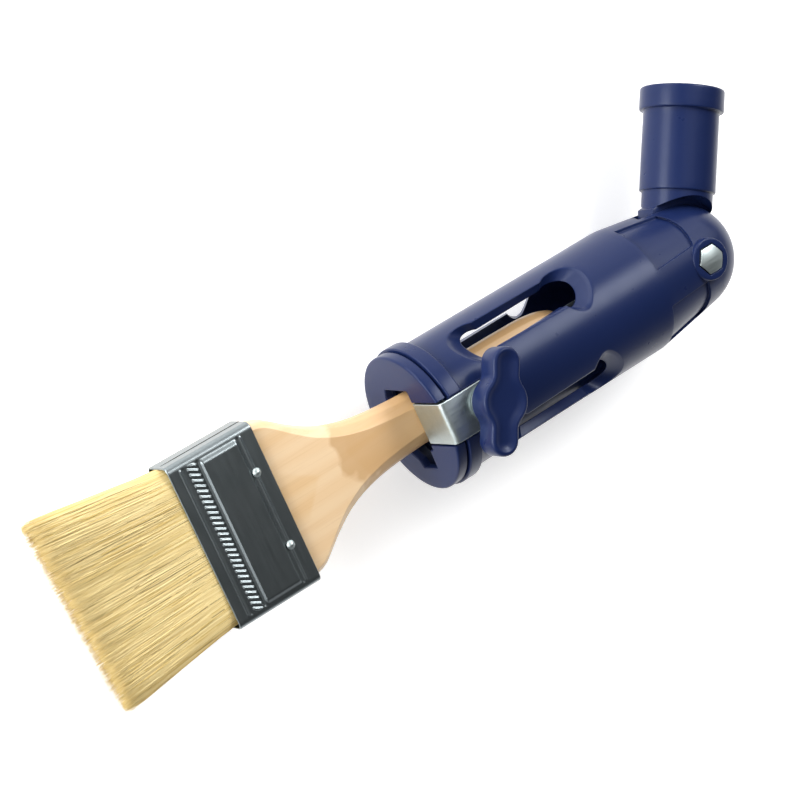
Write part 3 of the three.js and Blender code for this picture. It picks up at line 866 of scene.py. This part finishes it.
def make_washer(name, node, body):
    low, high = from_frame(node)
    x = middle(low, high)[0]
    outer = (high[0] - low[0]) / 2
    corners = [(low[2], HOLE_R), (low[2], outer), (high[2], outer), (high[2], HOLE_R)]
    edge_r = 0.22
    ring = fillet(corners, edge_r, closed=True, steps=3)
    publish(upright(ring, x, wrap=True), name, "zinc_steel", body, [node])


def hex_body(x, low, high, turn=0.0, bottom=False):
    """A hexagonal head or nut with its top, and perhaps its bottom, turned off at 30 degrees."""
    outline = hexagon(HEX_R, x, turn)
    body = stack([(outline, low), (outline, high)])
    flat, outer = HEX_R * 0.84, HEX_R + 0.3
    drop = (outer - flat) * math.tan(math.radians(30))
    profile = [(low, AXIS_R), (low, flat), (low + drop, outer)] if bottom else [(low - 1, HEX_R + 1)]
    profile += [(high - drop, outer), (high, flat), (high, AXIS_R)]
    return combine(body, [upright(profile, x)], "INTERSECT")


def make_nut(name, node, body):
    low, high = from_frame(node)
    x = middle(low, high)[0]
    nut = hex_body(x, low[2], high[2], bottom=True)
    mouth_r, wide_r, chamfer = 3.6, 4.3, 0.4
    bore = [(low[2] - 1, wide_r), (low[2], mouth_r), (low[2] + chamfer, HOLE_R),
            (high[2] - chamfer, HOLE_R), (high[2], mouth_r), (high[2] + 1, wide_r)]
    publish(combine(nut, [upright(bore, x)]), name, "zinc_steel", body, [node])


def make_clamp_screw():
    low, high = from_frame("clamp_screw")
    rod = thread(low[2], KNOB_LOW[2] + 1, CLAMP_X)
    head = hex_body(CLAMP_X, KNOB_LOW[2], high[2], CLAMP_KNOB_TURN)
    screw = combine(head, [rod], "UNION")
    publish(screw, "clamp_screw_threaded", "zinc_steel", "clamp_knob", ["clamp_screw"])


def make_hinge_bolt():
    head_low, thread_top = BOLT_HIGH[2] - HEAD_HEIGHT, -13
    head = hex_body(PIVOT_X, head_low, BOLT_HIGH[2])
    shank = round_cut(SCREW_R, PIVOT_X, thread_top - 1, head_low + 1, 32)
    tip = thread(BOLT_LOW[2], thread_top, PIVOT_X)
    bolt = combine(head, [shank, tip], "UNION")
    publish(bolt, "hinge_bolt_threaded", "zinc_steel", "holder", ["hinge_bolt"])


# ---------- pole socket ----------

def bore_thread(body):
    """Raises a coarse helical ridge on the wall of the pole hole."""
    start, end = SOCKET_END - BORE_DEPTH + 1, SOCKET_END - 2.5
    for vert in body.data.vertices:
        x, y, z = vert.co
        r = math.hypot(y, z)
        if abs(r - BORE_R) > 0.01 or not start < x < end:
            continue
        phase = (x / POLE_PITCH - math.atan2(y, z) / (2 * math.pi)) % 1.0
        fade = min(1, (x - start) / 2, (end - x) / 2)
        grow = 1 - POLE_RIDGE * fade * max(0, math.cos(2 * math.pi * (phase - 0.5))) ** 0.6
        vert.co = (x, y * grow, z * grow)


def socket_tube():
    """The tube and its rim, with the pole's hole down to its bottom."""
    mouth_r = BORE_R + BORE_CHAMFER
    outer = [(TUBE_START, AXIS_R), (TUBE_START, TUBE_R), (RIM_START, TUBE_R), (RIM_START, RIM_R),
             (SOCKET_END, RIM_R), (SOCKET_END, mouth_r)]
    outer = fillet(outer, [0, 0.7, 0.35, 0.8, 1.0, 0], steps=5)
    bottom = SOCKET_END - BORE_DEPTH
    bore = dense([(SOCKET_END, mouth_r), (SOCKET_END - 1.5, BORE_R), (bottom, BORE_R)], 0.5)
    body = turned(dense(outer, 3.0)[:-1] + bore + [(bottom, AXIS_R)], 144)
    bore_thread(body)
    return body


def tongue_slab(outline):
    """A plate as thick as the tongue, with rounded edges."""
    edge = 0.6
    low = -TONGUE_HALF
    layers = [(-edge, low), (-edge * 0.3, low + edge * 0.3), (0, low + edge)]
    layers += [(d, -z) for d, z in reversed(layers)]
    return stack([(offset(outline, d), z) for d, z in layers])


def make_socket():
    """The pole socket in one moulding: tongue, shoulder, neck, tube and rim."""
    body = socket_tube()
    root, joined = 12, TUBE_START + 1
    neck = turned([(root, NECK_R), (joined, NECK_R)], 144)
    combine(neck, [round_cut(NECK_CLEAR_R, NECK_CLEAR_X, -OUTSIDE, OUTSIDE, 160)])
    half = NECK_R - 1.1
    start = math.degrees(math.acos(half / TONGUE_R))
    tongue = [(joined, -half), (joined, half)] + arc(0, 0, TONGUE_R, 90 - start, 270 + start, 60)
    reach = math.degrees(math.asin(SHOULDER_HALF / SHOULDER_R))
    shoulder = arc(0, 0, SHOULDER_R, -reach, reach, 30)
    shoulder = [(root, -SHOULDER_HALF)] + shoulder + [(root, SHOULDER_HALF)]
    combine(body, [neck, tongue_slab(tongue), tongue_slab(shoulder)], "UNION")
    combine(body, [round_cut(HOLE_R, 0, -OUTSIDE, OUTSIDE)])
    place = Matrix.Translation((PIVOT_X, 0, 0)) @ Matrix.Rotation(BEND, 4, "Z")
    publish(body, "socket_moulding", "blue_plastic", "socket", ["pole_socket"], place=place)


# ---------- brush ----------

BRUSH_PLACE = Matrix.Translation((0, BRUSH_Y, 0)) @ Matrix.Rotation(BRUSH_TILT, 4, "Z")

# The handle's outline as (x, half its width), from inside the ferrule to its round end.
HANDLE_WIDTHS = [(-86, 30.6), (-60, 30.6), (-57.5, 30.3), (-55, 29.4), (-51, 26.6), (-46, 22.8),
                 (-38, 17.8), (-30, 14.4), (-21, 12.2), (-12, 11.1), (0, 10.3), (9, 10.2),
                 (20, 10.9), (31, 11.9), (42, 12.2), (54, 12.2), (63, 11.7), (70, 10.3),
                 (74, 8.2), (76.3, 4.8), (HANDLE_END, 0.8)]

# How far in the rounding of the handle's sides reaches, as (x, width).
HANDLE_SIDES = [(-60, 2.6), (-52, 3.4), (-40, 4.4), (-20, 5.0), (0, 5.4)]


def smooth_curve(points, positions):
    """A smooth line through points, without overshoot, read at the given positions."""
    x, y = np.array(points, float).T
    step = np.diff(x)
    rise = np.diff(y) / step
    steady = rise[:-1] * rise[1:] > 0
    inner = np.where(steady, (rise[:-1] + rise[1:]) / 2, 0)
    slope = np.concatenate([[rise[0]], inner, [rise[-1]]])
    i = np.clip(np.searchsorted(x, positions, side="right") - 1, 0, len(x) - 2)
    t = (positions - x[i]) / step[i]
    a, b = slope[i] * step[i], slope[i + 1] * step[i]
    return (y[i] * (1 + 2 * t) * (1 - t) ** 2 + a * t * (1 - t) ** 2
            + y[i + 1] * t * t * (3 - 2 * t) - b * t * t * (1 - t))


def handle_section(half_width, half_thick, side):
    """A flat-faced section with a bevel and a round side at each edge, in Y and Z."""
    side = min(side, half_width * 0.98)
    inner, bevel = half_width - side, half_width - 0.3 * side
    right = [(inner, -half_thick), (bevel, -0.66 * half_thick), (half_width, -0.25 * half_thick)]
    right += [(y, -z) for y, z in reversed(right)]
    corners = right + [(-y, -z) for y, z in right]
    return np.array(fillet(corners, [0.9, 2.2, 3, 3, 2.2, 0.9] * 2, closed=True, steps=5))


def make_handle():
    start, nose = -75.5, 60
    body = np.arange(start, nose, 1.2)
    positions = np.unique(np.concatenate([body, np.linspace(nose, HANDLE_END, 28)]))
    rings = []
    for x, width in zip(positions, smooth_curve(HANDLE_WIDTHS, positions)):
        into_nose = max(0, 1 - (HANDLE_END - x) / HANDLE_NOSE)
        thick = HANDLE_T * min(1.0, math.sqrt(max(0.004, 1 - into_nose ** 2)))
        side = np.interp(x, *zip(*HANDLE_SIDES))
        rings.append([(x, y, z) for y, z in handle_section(width, thick, side)])
    publish(loft(rings), "wooden_handle", "pine_wood", "brush", ["brush_handle"], 40, BRUSH_PLACE)


def smooth_step(value, low, high):
    """Rises smoothly from 0 at low to 1 at high."""
    t = np.clip((value - low) / (high - low), 0, 1)
    return t * t * (3 - 2 * t)


def ridge(value, centre, half):
    """A rounded bump, 1 high at its centre and 0 beyond its half width."""
    return np.cos(np.clip((value - centre) / half, -1, 1) * math.pi / 2) ** 2


# The beads pressed across the ferrule, front to back: height, place along it, half width.
BEADS = [(0.36, -91.4, 0.6), (-0.2, -90.1, 0.6), (-0.3, -84.2, 0.5), (-0.2, -67.3, 0.5),
         (0.34, -66.2, 0.65)]

# The raised panel and the row of slanted bars: height, then where each of the front, the
# rear and the side edges begins and ends.
RAISED_PANEL = (0.95, (-83.6, -82.7), (-68.7, -67.8), (26.7, 29.0))
HATCHING = (0.5, (-89.0, -88.5), (-85.3, -84.8), (28.3, 29.0))


def plateau(x, y, height, front, rear, side):
    """A flat-topped area with sloping edges."""
    along = smooth_step(x, *front) * (1 - smooth_step(x, *rear))
    return height * along * (1 - smooth_step(np.abs(y), *side))


def ferrule_relief(x, y):
    """The height pressed out of the ferrule's broad face at x along it and y across it."""
    across = 1 - smooth_step(np.abs(y), *HATCHING[-1])
    beads = sum(height * ridge(x, place, half) for height, place, half in BEADS) * across
    stripe = ((y - HATCH_SLANT * (x - HATCH_X)) / HATCH_PITCH) % 1.0
    bars = smooth_step(np.abs(stripe - 0.5), 0.34, 0.20) * plateau(x, y, *HATCHING)
    return plateau(x, y, *RAISED_PANEL) + beads + bars


def ferrule_ring(half_width, half_thick, corner, step):
    """The ferrule's section as points in Y and Z, with their outward directions."""
    flat_y, flat_z = half_width - corner, half_thick - corner
    points, normals = [], []
    corners = [(flat_y, -flat_z, -90), (flat_y, flat_z, 0),
               (-flat_y, flat_z, 90), (-flat_y, -flat_z, 180)]
    for i, (cy, cz, start) in enumerate(corners):
        for a in np.radians(np.linspace(start, start + 90, 13)):
            points.append((cy + corner * math.cos(a), cz + corner * math.sin(a)))
            normals.append((math.cos(a), math.sin(a)))
        ny, nz = corners[(i + 1) % 4][:2]
        angle = math.radians(start + 90)
        end = (ny + corner * math.cos(angle), nz + corner * math.sin(angle))
        middle = dense([points[-1], end], step)[1:-1]
        points += [tuple(p) for p in middle]
        normals += [(math.cos(angle), math.sin(angle))] * len(middle)
    return np.array(points), np.array(normals)


def make_ferrule():
    """A band of sheet with hemmed edges and its relief pressed into both broad faces."""
    ring, normals = ferrule_ring(FERRULE_HALF, FERRULE_T, FERRULE_CORNER_R, 0.3)
    y = ring[:, 0]
    broad = np.abs(normals[:, 1]) > 0.999
    hem = [(0.0, -0.42), (0.12, -0.12), (0.4, 0.0)]
    inside = np.arange(FERRULE_FRONT + 0.65, FERRULE_BACK - 0.6, 0.25)
    stations = [(FERRULE_FRONT + a, d) for a, d in hem] + [(x, 0.0) for x in inside]
    stations += [(FERRULE_BACK - a, d) for a, d in reversed(hem)]
    rings = []
    for x, drop in stations:
        height = drop + np.where(broad, ferrule_relief(x, y), 0)
        out = ring + normals * height[:, None]
        rings.append(np.column_stack([np.full(len(y), x), out]))
    inner = ring - normals * FERRULE_SHEET
    for x in np.linspace(FERRULE_BACK, FERRULE_FRONT, 4):
        rings.append(np.column_stack([np.full(len(y), x), inner]))
    band = loft(rings, wrap=True)
    publish(band, "pressed_ferrule", "ferrule_steel", "brush", ["ferrule"], 50, BRUSH_PLACE)


def make_seam():
    """A near-black strip where the ends of the sheet meet on the ferrule's side: painted shadow for
    the inside of the gap.
    """
    under, over = FERRULE_HALF - 0.3, FERRULE_HALF + 0.03
    path = [(FERRULE_FRONT + 1.5, 0.4 * SEAM_HALF), (FERRULE_FRONT + 8, SEAM_HALF),
            (FERRULE_BACK - 0.4, SEAM_HALF)]
    rings = []
    for x, half in path:
        low, high = SEAM_Z - half, SEAM_Z + half
        rings.append([(x, under, low), (x, over, low), (x, over, high), (x, under, high)])
    # The seam belongs to the steel band, so it keeps that slot, but it wears a painted shadow so it
    # looks like a dark gap.
    seam = publish(loft(rings), "ferrule_seam", "ferrule_steel", "brush", [], place=BRUSH_PLACE)
    seam.data.materials[0] = LOOKS["painted_gap_shadow"]


def make_nails():
    """The four nails through the ferrule's faces, with low domed heads."""
    for i in range(4):
        name = f"ferrule_nail_{i + 1}"
        low, high = from_frame(name)
        up = 1 if high[2] > 0 else -1
        face = high[2] if up > 0 else -low[2]
        crown = face + 0.3
        dome = [(crown - t * t, NAIL_HEAD_R * t) for t in np.linspace(1, 0.02, 8)]
        shank = [(2.0, AXIS_R), (2.0, NAIL_SHANK_R), (face - 0.85, NAIL_SHANK_R), (face - 0.95, 1.6)]
        profile = [(up * z, r) for z, r in shank + dome]
        body = upright(profile, *middle(low, high), 24)
        publish(body, f"nail_{i + 1}_domed", "zinc_steel", "brush", [name])


def tuft_half(along):
    """Half the width and half the thickness of the tuft, 0 at the ferrule and 1 at its tip."""
    wide = FERRULE_HALF - TUFT_GAP + (TIP_HALF - FERRULE_HALF + 0.6) * along
    thick = (FERRULE_T - TUFT_GAP) * (1 - TIP_THINNING * along ** 2)
    return wide, thick


def tip_line(y):
    """Where the hairs end at y across the tuft."""
    return TIP_X - TIP_SLANT * y / TIP_HALF


def make_core(side):
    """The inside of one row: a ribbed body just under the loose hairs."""
    rng = np.random.default_rng(SEED + side)
    inner, under = 0.2, 0.12
    across = np.linspace(-1, 1, CORE_RIBS)
    ribs = rng.normal(0, 0.05, CORE_RIBS)
    crown = (1 - np.abs(across) ** 7) ** 0.5
    rings = []
    for along in np.concatenate([[-0.35, 0.0], np.linspace(0.05, 0.90, 12)]):
        half_w, half_t = tuft_half(max(0.0, along))
        half_w, half_t = half_w - 0.9, half_t - 0.8
        y = across * half_w
        x = FERRULE_FRONT + (tip_line(y) - FERRULE_FRONT) * along
        top = side * (inner + (half_t - inner + ribs) * crown)
        upper = np.column_stack([x, y, top])
        lower = np.column_stack([x, y, np.full(CORE_RIBS, side * under)])
        rings.append(np.concatenate([upper, lower[::-1]]))
    return loft(rings)


def strand_roots(rng, count, side):
    """Where each hair leaves the ferrule: its place across and its depth, each from -1 to 1."""
    shell = rng.random(count) < 0.75
    across = rng.uniform(-1, 1, count)
    depth = np.where(shell, 1 - rng.random(count) ** 1.5 * 0.2, rng.uniform(0.05, 1, count))
    edge = rng.random(count) < 0.14
    across = np.where(edge, np.sign(across) * (1 - rng.random(count) ** 2 * 0.04), across)
    depth = np.where(edge, rng.uniform(0.03, 1, count), depth)
    limit = (1 - np.abs(across) ** 9) ** 0.4
    return across, side * depth * limit


def hair_lines(side, count):
    """The middle line and the radius of every hair, as arrays of hair by station."""
    rng = np.random.default_rng(SEED * 3 + side)
    across, depth = strand_roots(rng, count, side)
    clumps = np.sort(rng.uniform(-1, 1, CLUMPS_IN_ROW))
    nearest = clumps[np.abs(across[:, None] - clumps[None, :]).argmin(axis=1)]
    along = np.array([-0.05, 0.14, 0.34, 0.56, 0.75, 0.9, 1.0])[None, :]
    t = np.maximum(along, 0)

    def each(low, high):
        return rng.uniform(low, high, count)[:, None]

    def spread(size):
        return rng.normal(0, size, count)[:, None]

    # Hairs draw together into clumps, stray a little, and weave in and out of the surface.
    half_w, half_t = tuft_half(t)
    lateral = across[:, None] + (nearest - across)[:, None] * each(0, 0.35) * t ** 1.5
    lateral = lateral + spread(0.02) * t + spread(0.006) * np.sin(math.pi * t)
    loose = np.minimum(1, 4 * t)
    weave = 0.22 * np.sin(2 * math.pi * (each(0.6, 2.2) * t + each(0, 1))) * loose
    y = lateral * half_w
    z = depth[:, None] * half_t * (1 + spread(0.03) * t) + side * (weave - 0.3) * loose
    reach = 1 + spread(0.012) - np.abs(spread(0.034))
    x = FERRULE_FRONT + (tip_line(y) - FERRULE_FRONT) * along * reach
    taper = np.interp(along, [0, 0.6, 0.85, 1], [1, 0.9, 0.62, 0.12])
    return np.stack([x, y, z], axis=2), each(0.10, 0.18) * taper


def make_hairs(side, count):
    """Loose tapered hairs, gathered a little into clumps towards their tips."""
    line, radius = hair_lines(side, count)
    stations = line.shape[1]
    corner = np.array([(0, 1, 0), (0, -0.5, 0.87), (0, -0.5, -0.87)])
    verts = line[:, :, None, :] + corner[None, None] * radius[:, :, None, None]
    faces = []
    for j in range(3):
        a = np.arange(stations - 1) * 3
        faces.append(np.stack([a + j, a + (j + 1) % 3, a + 3 + (j + 1) % 3, a + 3 + j], axis=1))
    sides = np.concatenate(faces)
    starts = np.arange(count) * stations * 3
    quads = (sides[None] + starts[:, None, None]).reshape(-1, 4)
    last = 3 * (stations - 1)
    ends = np.array([(0, 2, 1), (last, last + 1, last + 2)])
    triangles = (ends[None] + starts[:, None, None]).reshape(-1, 3)
    return verts.reshape(-1, 3), quads.tolist() + triangles.tolist()


def make_bristles():
    for side, node in ((1, "bristles_front"), (-1, "bristles_back")):
        core = make_core(side)
        hairs = solid(*make_hairs(side, HAIRS_IN_ROW))
        work = bmesh.new()
        work.from_mesh(core.data)
        work.from_mesh(hairs.data)
        work.to_mesh(core.data)
        work.free()
        bpy.data.objects.remove(hairs)
        publish(core, f"{node}_hair", "bristle", "brush", [node], 60, BRUSH_PLACE)


def dress_hidden_nodes():
    """The pieces that keep their CAD shape get a finished material."""
    for node, slot in (("resin_plug", "brush_resin"), ("spacer_plug", "pine_wood")):
        data = frame["nodes"][node].data
        data.materials.clear()
        data.materials.append(LOOKS[slot])


set_stage()
LOOKS = {look.__name__: look() for look in
         (blue_plastic, zinc_steel, ferrule_steel, pine_wood, bristle, brush_resin, painted_gap_shadow)}
make_floor()
make_barrel()
make_front_cap()
make_plate()
make_knobs()
make_washer("clamp_washer_plain", "clamp_washer", "clamp_slider")
make_washer("hinge_washer_plain", "hinge_washer", "hinge_slider")
make_nut("clamp_nut_tapped", "clamp_nut", "holder")
make_nut("hinge_nut_tapped", "hinge_nut", "hinge_knob")
make_clamp_screw()
make_hinge_bolt()
make_socket()
make_handle()
make_ferrule()
make_seam()
make_nails()
make_bristles()
dress_hidden_nodes()
